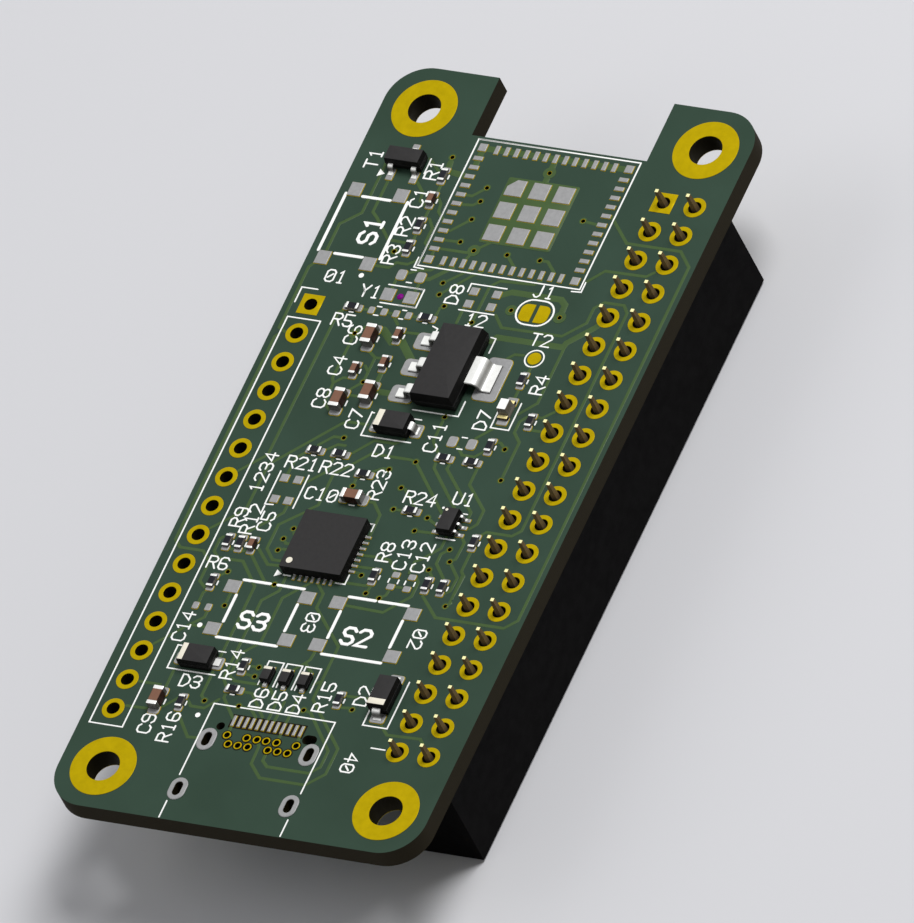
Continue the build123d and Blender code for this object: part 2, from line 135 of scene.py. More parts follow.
def turned(profile, sides=32, square=0.0):
    """A profile of radius and height turned about z. With square set, a radius over it is drawn
    out to the side of a square of that half width, as round a square land."""
    radius, height = np.array(profile, float).T
    angle = np.linspace(0, 2 * np.pi, sides, endpoint=False)
    reach = np.repeat(radius[:, None], sides, axis=1)
    if square:
        side = 1 / np.maximum(abs(np.cos(angle)), abs(np.sin(angle)))
        reach = np.where(radius[:, None] >= square, reach * side, reach)
    z = np.repeat(height[:, None], sides, axis=1)
    grid = np.stack([reach * np.cos(angle), reach * np.sin(angle), z], axis=-1)
    return sheet_of(grid, around=True)


def hoop(x, y, profile, sides=32, square=0.0):
    """A closed profile of radius and height, turned about the upright line through x and y."""
    return moved(turned([*profile, profile[0]], sides, square), x, y)


def arc(points, radius, steps=4):
    """The path with each inner corner rounded: a parabola from radius before the corner to
    radius after it."""
    points = [np.array(point, float) for point in points]
    path = [points[0]]
    share = np.linspace(0, 1, steps + 1)[:, None]
    for before, corner, after in zip(points, points[1:], points[2:]):
        start = corner + (before - corner) * min(radius / norm(before - corner), 0.5)
        end = corner + (after - corner) * min(radius / norm(after - corner), 0.5)
        path.extend((1 - share) ** 2 * start + 2 * share * (1 - share) * corner + share ** 2 * end)
    return np.array(path + [points[-1]])


def strip(path, profile):
    """A closed profile carried along a path in the yz plane: its first number goes along x, and
    its second along the path's normal. Both ends are drawn to a point in the end's plane."""
    nudge = 1e-5 * (path[1] - path[0])
    path = np.concatenate([path[:1] - nudge, path, path[-1:] + nudge])
    step = np.gradient(path, axis=0)
    step /= norm(step, axis=1)[:, None]
    normal = np.column_stack([-step[:, 1], step[:, 0]])
    side, out = np.array(profile, float).T
    share = np.ones((len(path), 1))
    share[[0, -1]] = 0
    yz = path[:, None, :] + normal[:, None, :] * (share * out)[:, :, None]
    return sheet_of(np.concatenate([(share * side)[:, :, None], yz], axis=-1), around=True)


# Strokes: a low line of print or copper along a path on the board

END_ANGLES = np.radians([0, 30, 60])
BANK_ACROSS = np.array([-1, -0.8, 0, 0.8, 1, 1, -1])
BANK_HEIGHT = np.array([0, 0.85, 1, 0.85, 0, -0.3, -0.3])


def stroke(points, width, height):
    """A line with round ends: its cross section is a low bank with a flat back, carried along the
    path. At a corner the bank keeps its width by the inverse cosine of half the bend, and at an
    end it follows a half circle: so far on by the cosine, and so narrow by the sine."""
    path = np.array(points, float)
    step = np.diff(path, axis=0)
    step /= norm(step, axis=1)[:, None]
    direction = np.concatenate([step[:1], step[:-1] + step[1:], step[-1:]])
    direction /= norm(direction, axis=1)[:, None]
    bend = np.concatenate([[1], np.sum(direction[1:-1] * step[1:], axis=1), [1]])
    half = width / 2 / np.maximum(bend, 0.5)
    start = path[0] - direction[0] * (width / 2) * np.cos(END_ANGLES)[:, None]
    finish = path[-1] + direction[-1] * (width / 2) * np.cos(END_ANGLES[::-1])[:, None]
    line = np.concatenate([start, path, finish])
    ends = width / 2 * np.sin(END_ANGLES)
    half = np.concatenate([ends, half, ends[::-1]])
    extra = len(END_ANGLES)
    direction = np.pad(direction, ((extra, extra), (0, 0)), mode="edge")
    side = np.column_stack([-direction[:, 1], direction[:, 0]])
    xy = line[:, None, :] + side[:, None, :] * (half[:, None] * BANK_ACROSS)[:, :, None]
    z = np.broadcast_to(TOP + height * BANK_HEIGHT, xy.shape[:2])
    return sheet_of(np.concatenate([xy, z[:, :, None]], axis=-1), around=True)


# Pieces

def placed(name, data):
    """A new object in the scene."""
    thing = bpy.data.objects.new(name, data)
    bpy.context.scene.collection.objects.link(thing)
    return thing


def seamless(mesh, gap):
    """Join the mesh's corners that are no farther apart than the gap, and turn its faces out."""
    work = bmesh.new()
    work.from_mesh(mesh)
    bmesh.ops.remove_doubles(work, verts=work.verts, dist=gap)
    bmesh.ops.recalc_face_normals(work, faces=work.faces)
    work.to_mesh(mesh)
    work.free()


def piece(name, shapes, finish, replaced=(), smooth=30.0):
    """A piece of the board from its shapes."""
    points, faces = together(shapes)
    mesh = bpy.data.meshes.new(name)
    mesh.from_pydata(points * MM, [], faces)
    seamless(mesh, 1e-8)
    finished(name, mesh, finish, replaced, smooth)


def finished(name, mesh, finish, replaced=(), smooth=30.0):
    """The mesh as an object of the board, smooth where its faces meet at less than this angle."""
    mesh.materials.clear()
    mesh.materials.append(finish)
    mesh.shade_smooth()
    mesh.set_sharp_from_angle(angle=math.radians(smooth))
    thing = placed(name, mesh)
    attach(thing, "root")
    if replaced:
        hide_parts(*replaced)


# Finishes

def srgb(red, green, blue):
    """A colour as read off the object, 0 to 255, in the linear values that a shader takes."""
    share = np.array([red, green, blue]) / 255
    linear = np.where(share <= 0.04045, share / 12.92, ((share + 0.055) / 1.055) ** 2.4)
    return (*linear.tolist(), 1.0)


def shade(colour, share):
    """The colour made darker or lighter by this share."""
    return (*(channel * share for channel in colour[:3]), 1.0)


class Number:
    """A number that varies over a surface. Working with it adds Math nodes to its finish."""

    def __init__(self, paint, socket):
        self.paint, self.socket = paint, socket

    def __add__(self, other):
        return self.paint.maths("ADD", self, other)

    def __sub__(self, other):
        return self.paint.maths("SUBTRACT", self, other)

    def __rsub__(self, other):
        return self.paint.maths("SUBTRACT", other, self)

    def __mul__(self, other):
        return self.paint.maths("MULTIPLY", self, other)

    def __gt__(self, other):
        return self.paint.maths("GREATER_THAN", self, other)

    def __abs__(self):
        return self.paint.maths("ABSOLUTE", self)

    __radd__ = __add__
    __rmul__ = __mul__


class Paint:
    """A finish: one Principled shader, and the nodes that vary it over the surface."""

    def __init__(self, name, colour, roughness, metallic=0.0, shine=0.5):
        self.material = bpy.data.materials.new(name)
        self.material.use_nodes = True
        self.tree = self.material.node_tree
        self.shader = self.tree.nodes["Principled BSDF"]
        self.colour = colour
        self.feed("Base Color", colour)
        self.feed("Roughness", roughness)
        self.feed("Metallic", metallic)
        self.feed("Specular IOR Level", shine)

    def node(self, kind, settings=None, inputs=None):
        """A node of this kind: its settings first, and then the values or links of its sockets."""
        node = self.tree.nodes.new("ShaderNode" + kind)
        for name, value in (settings or {}).items():
            setattr(node, name, value)
        for name, value in (inputs or {}).items():
            self.connect(value, node.inputs[name])
        return node

    def connect(self, value, socket):
        if isinstance(value, Number):
            value = value.socket
        if isinstance(value, bpy.types.NodeSocket):
            self.tree.links.new(value, socket)
        else:
            socket.default_value = value

    def feed(self, socket, value):
        self.connect(value, self.shader.inputs[socket])

    def maths(self, operation, first, second=0.0):
        node = self.node("Math", {"operation": operation}, {0: first, 1: second})
        return Number(self, node.outputs[0])

    def places(self):
        return self.node("TexCoord").outputs["Object"]

    def parts(self, vector):
        """The x, y and z of a vector."""
        node = self.node("SeparateXYZ", None, {0: vector})
        return [Number(self, node.outputs[i]) for i in range(3)]

    def level(self):
        """How level the surface lies: 0 where it is upright, and 1 where it faces up or down."""
        return abs(self.parts(self.node("NewGeometry").outputs["Normal"])[2])

    def noise(self, size, detail=2.0, stretch=(1, 1, 1)):
        """Soft noise from 0 to 1, with patches of about this size in millimetres."""
        spot = self.node("Mapping", None, {"Vector": self.places(), "Scale": stretch}).outputs[0]
        inputs = {"Vector": spot, "Scale": 1 / (size * MM), "Detail": detail}
        return Number(self, self.node("TexNoise", None, inputs).outputs["Fac"])

    def ramp(self, value, low, high):
        """0 where the value is under low, 1 where it is over high, and even between them."""
        inputs = {"Value": value, "From Min": low, "From Max": high}
        return Number(self, self.node("MapRange", None, inputs).outputs["Result"])

    def patches(self, size):
        """Noise with its soft middle drawn out, from 0 to 1."""
        return self.ramp(self.noise(size), 0.3, 0.7)

    def mix(self, share, first, second):
        node = self.node("Mix", {"data_type": "RGBA"}, {"Factor": share})
        self.connect(first, node.inputs[6])
        self.connect(second, node.inputs[7])
        return node.outputs[2]

    def mottle(self, size, amount):
        """The colour a little darker and lighter in patches of this size."""
        low, high = shade(self.colour, 1 - amount), shade(self.colour, 1 + amount)
        self.feed("Base Color", self.mix(self.patches(size), low, high))

    def wear(self, low, high, size):
        """Roughness that drifts between two values in patches of this size."""
        self.feed("Roughness", low + self.patches(size) * (high - low))

    def bump(self, height, depth):
        """Relief: the height, from 0 to 1, stands for this depth in millimetres."""
        inputs = {"Height": height, "Distance": depth * MM, "Strength": 1.0}
        self.feed("Normal", self.node("Bump", None, inputs).outputs["Normal"])


def laminate_finish():
    """Green mask on both faces of the board, and the sawn brown laminate on every edge. The mask
    shows a trace of the glass weave: two crossed waves, of one bundle of threads each 0.5 mm."""
    layer, bundles = 2 * math.pi / (0.2 * MM), 2 * math.pi / (1.0 * MM)
    paint = Paint("mask_and_laminate", srgb(56, 75, 63), 0.42, shine=0.22)
    x, y, z = paint.parts(paint.places())
    flat = paint.level() > 0.5
    mask = paint.mix(paint.patches(6.0), srgb(45, 65, 52), srgb(50, 71, 58))
    layers = paint.ramp(paint.maths("SINE", z * layer), -1.0, 1.0)
    grain = layers * 0.5 + paint.noise(0.12, 3.0, (0.2, 0.2, 1)) * 0.5
    edge = paint.mix(grain, srgb(23, 18, 4), srgb(38, 31, 9))
    paint.feed("Base Color", paint.mix(flat, edge, mask))
    paint.feed("Roughness", 0.9 - flat * 0.46)
    wave = paint.maths("SINE", x * bundles) * paint.maths("SINE", y * bundles)
    paint.bump(wave * flat * 0.5 + grain * (1 - flat), 0.004)
    return paint.material


def lit_and_shaded(
    name, lit_colour, shaded_colour, roughness, metallic=0.0, size=0.08, depth=0.004, upright=0.75,
    shine=0.5,
):
    """A finish with painted light: its level faces take the lit colour, and its upright faces a
    darker colour of painted shade, as if lit from above. Between them the colour runs over from
    this slope on."""
    paint = Paint(name, lit_colour, roughness, metallic, shine)
    grain = paint.patches(size * 4)
    # Painted shade for the upright faces and painted light for the level ones, each with a grain of
    # random tone. The ramp on how level a face lies picks between them.
    side = paint.mix(grain, shade(shaded_colour, 0.85), shade(shaded_colour, 1.15))
    flat = paint.mix(grain, shade(lit_colour, 0.95), shade(lit_colour, 1.05))
    paint.feed("Base Color", paint.mix(paint.ramp(paint.level(), upright, 0.95), side, flat))
    paint.bump(paint.noise(size, 3.0), depth)
    return paint.material


def speckled(
    name, colour, roughness, metallic=0.0, size=0.15, depth=0.004, amount=0.06, shine=0.5,
):
    """A finish of one colour with a fine grain, in colour as well as in relief."""
    paint = Paint(name, colour, roughness, metallic, shine)
    paint.mottle(size * 4, amount)
    paint.wear(roughness * 0.88, min(roughness * 1.12, 1.0), size * 7)
    paint.bump(paint.noise(size, 3.0), depth)
    return paint.material


MASK_AND_LAMINATE = laminate_finish()
MASKED_COPPER = speckled(
    "mask_over_copper", srgb(67, 89, 51), 0.42, size=0.5, depth=0.002, shine=0.22,
)
BARE_LAMINATE = speckled("bare_laminate", srgb(24, 18, 8), 0.7, size=0.1, shine=0.15)
# The plating down the holes is painted dark brown-olive as painted shade inside the holes, in place
# of the gold the plating really has.
SHADED_WALL = speckled("plated_wall_painted_shade", srgb(30, 26, 11), 0.6, 0.1, size=0.1, shine=0.05)
PRINT = speckled("white_print", srgb(250, 250, 247), 0.6, size=0.08, amount=0.02)
GOLD = speckled(
    "gold_plate", srgb(190, 165, 1), 0.5, 0.35, size=0.12, depth=0.0015, amount=0.05, shine=0.08,
)
SOLDER = speckled("solder_coat", srgb(163, 163, 163), 0.5, 0.35, size=0.06, amount=0.05)
# Painted light: tin tops painted white as lit, and upright faces and bends a grey painted shade
# that runs over from a low slope.
TIN = lit_and_shaded(
    "bright_tin", srgb(254, 254, 250), srgb(98, 96, 92), 0.35, 0.2, depth=0.0015, upright=0.2,
)
# Painted light: pin tips painted pale yellow as lit, and their sides a brown painted shade.
PIN = lit_and_shaded(
    "plated_pin", srgb(254, 248, 184), srgb(112, 94, 66), 0.5, 0.1, 0.1, 0.002, shine=0.15,
)
# Painted light: moulded body tops dark grey as lit, and their sides a near-black painted shade.
EPOXY = lit_and_shaded(
    "moulded_epoxy", srgb(52, 51, 51), srgb(17, 16, 16), 0.6, size=0.07, depth=0.005, shine=0.1,
)
SOCKET = speckled(
    "moulded_black", srgb(8, 7, 7), 0.5, size=0.12, depth=0.006, amount=0.1, shine=0.02,
)
# Painted light: capacitor tops lit brown, and their sides a darker painted shade.
BROWN = lit_and_shaded(
    "brown_ceramic", srgb(124, 90, 73), srgb(54, 34, 27), 0.5, size=0.1, depth=0.003, shine=0.12,
)
CERAMIC = speckled("pale_ceramic", srgb(120, 114, 104), 0.6, size=0.08, depth=0.003)
FILM = speckled("dark_film", srgb(33, 34, 40), 0.4, size=0.08, depth=0.002, shine=0.2)
CREAM = speckled("cream_print", srgb(232, 226, 208), 0.6, size=0.06, depth=0.003, amount=0.03)
# Painted light: lens top lit white, and its sides a grey painted shade.
LENS = lit_and_shaded("milky_resin", srgb(250, 250, 247), srgb(98, 92, 82), 0.3, size=0.2, depth=0.002)
# Painted light: gilt end tops lit pale gold, and their sides a dark painted shade.
ENDS = lit_and_shaded(
    "gilt_end", srgb(254, 236, 166), srgb(72, 55, 28), 0.4, 0.2, depth=0.002, shine=0.2,
)
GLUE = speckled("magenta_glue", srgb(124, 0, 124), 0.5, size=0.1, depth=0.002, shine=0.1)


# Where things are

def seats(nodes):
    """The middles of CAD nodes as x, y and turn: 90 where it is longer along y than along x."""
    places = []
    for node in nodes:
        low, high = (np.array(corner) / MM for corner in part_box(node))
        middle, size = (low + high) / 2, high - low
        places.append((round(middle[0], 3), round(middle[1], 3), 90 if size[1] > size[0] else 0))
    return places


def numbered(name, first, last):
    return [f"{name}_{i:02d}" for i in range(first, last + 1)]


def paths(usual, table):
    """The width and the points of each line of a table, in hundredths of a millimetre. It gives a
    width, where it isn't the usual one, the first point, and the step from each to the next. A
    line of the table that begins with a space goes on from the one before."""
    found = []
    for line in table.replace("\n ", " ").strip().splitlines():
        words = line.split()
        width = int(words.pop(0)) / 100 if len(words) % 2 else usual
        steps = np.array(words, int).reshape(-1, 2)
        found.append((width, np.cumsum(steps, axis=0) / 100))
    return found


def circle(x, y, radius, sides=28):
    angle = np.linspace(0, 2 * np.pi, sides, endpoint=False)
    return np.column_stack([x + radius * np.cos(angle), y + radius * np.sin(angle)])


HALF_LENGTH, HALF_WIDTH = (float(v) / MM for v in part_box("board")[1][:2])
PITCH = 2.54
MOUNTS = [(x, y) for x in (-29, 29) for y in (-11.5, 11.5)]
HEADER = [(-24.13 + PITCH * i, y) for i in range(20) for y in (10.23, 12.77)]
ROW = [(-11.37 + PITCH * i, -12.88) for i in range(15)]
SHELL_SLOTS = [(25.49, 3.65), (25.49, -4.65), (29.88, 4.02), (29.88, -5.02)]
SLOT = (1.1, 0.55)
RING_VIAS = [(24.9, y) for y in (2.35, 0.76, -0.08, -0.84, -1.67, -3.27)]
RING_VIAS += [(25.62, y) for y in (1.96, 1.15, 0.36, -1.28, -2.08, -2.87)]
VIAS = np.array("""
-2165 478 -2320 -377 -2200 -377 -2040 -377 -1840 -380 -2530 -755 -2520 45 -1785 295 -1790 25
-1785 -245 -1190 5 -1380 -345 -1480 -360 -1290 -265 -1680 -850 -1340 655 -1340 260 -955 -845 69 808
-190 724 -380 150 25 95 255 80 440 100 468 390 590 340 120 -80 300 -295 -565 -600 -82 -540 1165 850
798 720 698 675 890 592 1185 320 1160 200 1020 100 1205 -525 1900 -335 725 -585 820 -625 920 -625
1160 -925 1440 -825 2125 525 2190 160 2240 -345 1980 -335 2240 -625
""".split(), int).reshape(-1, 2) / 100
WIDE_VIAS = {  # the radius of the masked rim, where it isn't 0.3
    (-25.2, 0.45): 0.5, (-17.85, -2.45): 0.5, (-13.4, 6.55): 0.5, (-13.4, 2.6): 0.45,
    (-9.55, -8.45): 0.45,
}

RESISTORS = numbered("resistor", 1, 25)
SMALL_CAPACITORS = numbered("capacitor", 1, 5)
LARGE_CAPACITORS = numbered("capacitor", 6, 10)
REGULATOR = (-7.42, 0.61, 0)
FORMED_DIODES = [(-2.24, -1.72, 0), (19.97, 7.53, 90)]
FLAT_DIODE = (19.22, -8.07, 0)
CLAMP_DIODES = [(19.69, y, 90) for y in (0.82, -0.7, -2.21)]
TRANSISTOR = (-24.25, -10.65, -90)
BUFFER_CHIP = (5.06, 6.05, 0)
BRIDGE_CHIP = (8.55, -2.5, 0)
LIGHT = (-5.0, 6.08)

MODULE = (-21.52, 0.43)
BUTTONS = [(14.6, 3.3, 0), (14.6, -5.28, 0), (-18.42, -11.85, 90)]
CONNECTOR_Y = -0.5
FINGER_X = 23.68
CRYSTAL = (-13.15, -6.39)
JUMPER = (-13.4, 4.5)
TEST_POINT = (-9.7, 6.15)

# Plated holes: the radius of the hole and of its land, and what the laminate's hole is wider by
MOUNT_HOLE, MOUNT_LAND = 1.25, 2.5
PIN_HOLE, PIN_LAND = 0.5, 0.85
RING_HOLE, RING_LAND = 0.22, 0.315
VIA_HOLE = 0.165
PLATING, VIA_PLATING = 0.03, 0.02


# The board

def outline():
    """The board's edge: a rectangle with round corners, and the notch cut into its low x end."""
    notch_x, low, high = -27.4, -6.9, 7.4
    corners = round_corners(2 * HALF_LENGTH, 2 * HALF_WIDTH, 3.0, steps=14)
    bottom = np.flatnonzero((corners[:, 0] < 0) & (corners[:, 1] > 0))[-1] + 1
    notch = [(-HALF_LENGTH, high), (notch_x, high), (notch_x, low), (-HALF_LENGTH, low)]
    return np.concatenate([corners[:bottom], notch, corners[bottom:]])


def plate(edge, holes):
    """The board with its holes: the edge and the holes as one flat curve, filled and made thick."""
    curve = bpy.data.curves.new("plate", "CURVE")
    curve.dimensions, curve.fill_mode = "2D", "BOTH"
    curve.extrude = TOP / 2 * MM
    for points in [edge, *holes]:
        spline = curve.splines.new("POLY")
        spline.points.add(len(points) - 1)
        flat = np.column_stack([points * MM, np.zeros(len(points)), np.ones(len(points))])
        spline.points.foreach_set("co", flat.ravel())
        spline.use_cyclic_u = True
    holder = bpy.data.objects.new("plate", curve)
    mesh = bpy.data.meshes.new_from_object(holder)
    bpy.data.objects.remove(holder)
    mesh.transform(Matrix.Translation((0, 0, TOP / 2 * MM)))
    seamless(mesh, 1e-7)
    return mesh


def slot_edge(x, y, length, width):
    """Points round a slot: a rectangle whose short sides are half circles."""
    return round_corners(length, width, min(length, width) / 2 - 0.001, steps=6) + (x, y)


def ring(x, y, hole, land, square=0.0, below=True, sides=32):
    """The lands of a plated hole: one on the board, and one underneath."""
    profile = [
        (hole, 0.0), (hole, 0.03), (hole + 0.02, 0.045), (land - 0.02, 0.045), (land, 0.03),
        (land, -0.01), (hole + 0.05, -0.01),
    ]
    shapes = [hoop(x, y, [(r, TOP + z) for r, z in profile], sides, square)]
    if below:
        shapes.append(hoop(x, y, [(r, -z) for r, z in profile], sides, square))
    return together(shapes)


def barrel(x, y, hole, top=0.01, bottom=0.01, sides=32):
    """The plating down the wall of a hole, from top over the board to bottom under it."""
    high, low, out = TOP + top, -bottom, hole + 0.04
    return hoop(x, y, [(hole, high), (hole, low), (out, low), (out, high)], sides)


def make_board():
    """The plate, the lands and rims round its holes, and the plating down their walls."""
    holes = [circle(x, y, MOUNT_HOLE + PLATING, 64) for x, y in MOUNTS]
    holes += [circle(x, y, PIN_HOLE + PLATING) for x, y in HEADER + ROW]
    holes += [circle(x, y, RING_HOLE + PLATING, 16) for x, y in RING_VIAS]
    holes += [circle(x, y, VIA_HOLE + VIA_PLATING, 16) for x, y in VIAS]
    holes += [slot_edge(x, y, SLOT[0] + PLATING, SLOT[1] + PLATING) for x, y in SHELL_SLOTS]
    holes += [circle(24.24, -4.09, 0.325), slot_edge(24.25, 3.15, 0.8, 1.15)]  # for two pegs
    board = plate(outline(), holes)
    finished("board_plate", board, MASK_AND_LAMINATE, ["board"])

    inner = [(0.19, TOP + 0.024), (0.182, TOP), (0.182, TOP - 0.01)]
    rims = []
    for x, y in VIAS:
        rim = WIDE_VIAS.get((x, y), 0.3)
        rims.append(hoop(x, y, [(rim + 0.01, TOP - 0.01), (rim, TOP + 0.02), *inner], 20))
    piece("via_rims", rims, MASKED_COPPER)

    lands = [ring(x, y, MOUNT_HOLE, MOUNT_LAND, sides=96) for x, y in MOUNTS]
    for places, below in ((HEADER, False), (ROW, True)):
        for i, (x, y) in enumerate(places):
            lands.append(ring(x, y, PIN_HOLE, PIN_LAND, 0 if i else PIN_LAND, below))
    lands += [ring(x, y, RING_HOLE, RING_LAND, sides=16) for x, y in RING_VIAS]
    over, low, out = TOP + 0.012, TOP - 0.01, VIA_HOLE + 0.021
    lip = [(VIA_HOLE, low), (VIA_HOLE, over), (out, over), (out, low)]
    lands += [hoop(x, y, lip, 16) for x, y in VIAS]
    piece("plated_holes", lands, GOLD)

    walls = [barrel(x, y, MOUNT_HOLE, sides=96) for x, y in MOUNTS]
    walls += [barrel(x, y, PIN_HOLE) for x, y in ROW]
    walls += [barrel(x, y, PIN_HOLE, bottom=-0.02) for x, y in HEADER]
    walls += [barrel(x, y, RING_HOLE, sides=16) for x, y in RING_VIAS]
    walls += [barrel(x, y, VIA_HOLE, -0.01, -0.02, 16) for x, y in VIAS]
    tube = [(0.0, TOP + 0.055), (0.04, TOP + 0.055), (0.04, -0.055), (0.0, -0.055)]
    walls += [slot_ring(x, y, tube) for x, y in SHELL_SLOTS]
    # The walls of the holes carry the dark painted shade.
    piece("hole_walls", walls, SHADED_WALL, smooth=40)


# Pads

GOLD_EDGE = [(0, -0.02), (0, 0.03), (0.01, 0.04)]
SOLDER_EDGE = [(0, 0.02), (0, 0.07), (0.012, 0.09), (0.04, 0.1)]
SOLDER_MARGIN = 0.03


def land_and_solder(length, width, corner):
    """A gold pad, and the solder on it, which stands back from the pad's edge."""
    inner = length - 2 * SOLDER_MARGIN, width - 2 * SOLDER_MARGIN
    return stack(length, width, corner, GOLD_EDGE), stack(*inner, corner, SOLDER_EDGE)


def grid_places(x, y, step_x, step_y, columns, lines, turn=0):
    """The places of a grid of so many columns and lines about its middle."""
    along = (np.arange(columns) - (columns - 1) / 2) * step_x
    up = (np.arange(lines) - (lines - 1) / 2) * step_y
    c, s = math.cos(math.radians(turn)), math.sin(math.radians(turn))
    return [(x + a * c - b * s, y + a * s + b * c, turn) for a in along for b in up]


THERMAL_PADS = grid_places(*MODULE, 1.98, 1.98, 3, 3)
PADS = [  # length, width, corner and places
    (0.8, 0.4, 0.03, grid_places(*MODULE, 9.8, 0.8, 2, 13)),
    (0.4, 0.8, 0.03, grid_places(*MODULE, 0.8, 11.88, 11, 2)),
    (0.7, 0.7, 0.03, grid_places(*MODULE, 9.9, 11.96, 2, 2)),
    (1.45, 1.45, 0.03, THERMAL_PADS[1:]),
    *[(1.1, 1.2, 0.03, grid_places(x, y, 3.7, 6.04, 2, 2, turn)) for x, y, turn in BUTTONS],
    (0.95, 0.28, 0.03, grid_places(FINGER_X, CONNECTOR_Y, 0, 0.5, 1, 12)),
    (0.7, 0.7, 0.05, grid_places(-13.92, 0.06, 1.1, 1.84, 2, 2)),
    (0.7, 0.7, 0.05, grid_places(4.15, -7.82, 1.84, 1.1, 2, 2)),
    (1.05, 1.1, 0.05, grid_places(*CRYSTAL, 1.86, 0, 2, 1, 90)),
    (1.5, 2.0, 0.35, grid_places(REGULATOR[0], -2.55, 2.3, 0, 3, 1)),
    (3.8, 2.0, 0.35, [(REGULATOR[0], 3.77, 0)]),
    (1.2, 0.9, 0.2, [(-2.24, -3.35, 0), (-2.24, -0.05, 0), (18.33, 7.54, 90), (21.63, 7.54, 90)]),
    (1.1, 1.1, 0.2, [(19.25, -9.46, 0), (19.25, -6.67, 0)]),
    (0.42, 0.42, 0.06, [(x + side * 0.7, y, 0) for side in (-1, 1) for x, y, _ in CLAMP_DIODES]),
    (1.05, 0.6, 0.08, [(-23.1, -9.68, 0), (-23.1, -11.6, 0), (-25.4, -10.65, 0)]),
    (0.35, 0.7, 0.05, grid_places(5.08, 6.05, 0.65, 1.9, 3, 2)),
    (0.25, 0.6, 0.03, grid_places(*BRIDGE_CHIP[:2], 0.5, 5.25, 7, 2)),
    (0.6, 0.25, 0.03, grid_places(*BRIDGE_CHIP[:2], 5.25, 0.5, 2, 7)),
    (0.75, 0.9, 0.1, grid_places(*LIGHT, 1.7, 0, 2, 1)),
]
BARE_SMALL = [
    (-11.64, -7.49, 90), (-11.64, -5.49, 90), (14.77, -9.9, 90), (10.27, 3.66, 0), (10.27, 4.98, 0),
]
BARE_LARGE = [(-1.85, 3.8, 90), (-14.93, -6.25, 90)]


def make_pads():
    small = seats(RESISTORS + SMALL_CAPACITORS) + BARE_SMALL
    large = seats(LARGE_CAPACITORS) + BARE_LARGE
    pads = list(PADS)
    for chips, size, apart in ((small, (0.54, 0.65, 0.12), 1.03), (large, (0.8, 0.95, 0.2), 1.55)):
        pads += [(*size, grid_places(x, y, apart, 0, 2, 1, turn)) for x, y, turn in chips]
    golds, solders = [], []
    for length, width, corner, places in pads:
        gold, solder = land_and_solder(length, width, corner)
        golds.append(copies(gold, places))
        solders.append(copies(solder, places))

    # The thermal pad with its corner cut off
    half, cut = 0.725, -0.075
    edge = np.array([(cut, -half), (half, -half), (half, half), (-half, half), (-half, cut)])
    golds.append(copies(stack_of(edge, GOLD_EDGE), THERMAL_PADS[:1]))
    solders.append(copies(stack_of(edge * 0.96, SOLDER_EDGE), THERMAL_PADS[:1]))

    rise = [(0.03, 0.05), (0.06, 0.09), (0.35, 0.09), (0.4, 0.05), (0.4, -0.01), (0.06, -0.01)]
    for x, y in SHELL_SLOTS:
        solders.append(slot_ring(x, y, [(r, TOP + z) for r, z in rise]))
        solders.append(slot_ring(x, y, [(r, -z) for r, z in rise]))
    piece("pad_lands", golds, GOLD, smooth=40)
    piece(
        "pad_solder", solders, SOLDER,
        ["module_pads", "button_pads", "finger_pads", "shell_pads", "open_pads"], smooth=12,
    )

    jumper = stack_of(jumper_outline(), [(0, -0.02), (0, 0.03), (0.01, 0.045)])
    halves = [(JUMPER[0], JUMPER[1] + side * 0.66, 90 - side * 90) for side in (1, -1)]
    point = turned([(0, -0.02), (0.525, -0.02), (0.525, 0.03), (0.51, 0.045), (0, 0.045)])
    bare = [copies(jumper, halves), moved(point, *TEST_POINT, TOP)]
    piece("bare_gold_pads", bare, GOLD, ["jumper_pads"])


def jumper_outline():
    """Half of the solder jumper: a straight inner side, and round corners on the outer side."""
    outer = round_corners(1.5, 1.02, 0.49, steps=6)
    return np.where(outer[:, 1:] > 0, outer, np.sign(outer) * (0.75, 0.51))


def slot_ring(x, y, profile):
    """A profile carried round a slot: its first number is how far out from the slot's edge."""
    (length, width), levels = SLOT, [*profile, profile[0]]
    rings = [
        np.insert(round_corners(length + 2 * d, width + 2 * d, 0.274 + d, 5) + (x, y), 2, z, axis=1)
        for d, z in levels
    ]
    return sheet_of(np.stack(rings), around=True)


# Fitted parts, each drawn at the origin on the board's face

def make_chips():
    resistors = seats(RESISTORS)
    body = stack(0.94, 0.48, 0.02, [(0.01, 0.01), (0, 0.03), (0, 0.28), (0.02, 0.31)])
    film = stack(0.68, 0.47, 0.02, [(0, 0.3), (0, 0.335), (0.015, 0.345)])
    piece("resistor_bodies", [copies(body, resistors)], CERAMIC, RESISTORS)
    piece("resistor_films", [copies(film, resistors)], FILM)

    cap = end_cap(0.18, 0.5, 0.35, 0.025)
    caps = [copies(moved(cap, side * 0.41), resistors) for side in (-1, 1)]
    bodies = []
    for nodes, length, width, height, share in (
        (SMALL_CAPACITORS, 1.0, 0.5, 0.5, 0.2), (LARGE_CAPACITORS, 1.6, 0.8, 0.8, 0.32),
    ):
        places = seats(nodes)
        cap = end_cap(share, width, height, 0.05)
        caps += [copies(moved(cap, side * (length - share) / 2), places) for side in (-1, 1)]
        middle = [(0.03, 0.015), (0, 0.045), (0, height - 0.045), (0.03, height - 0.015)]
        bodies.append(copies(stack(length - share, width - 0.03, 0.03, middle), places))
    nodes = SMALL_CAPACITORS + LARGE_CAPACITORS
    piece("capacitor_bodies", bodies, BROWN, nodes)
    piece("chip_ends", caps, TIN, smooth=50)


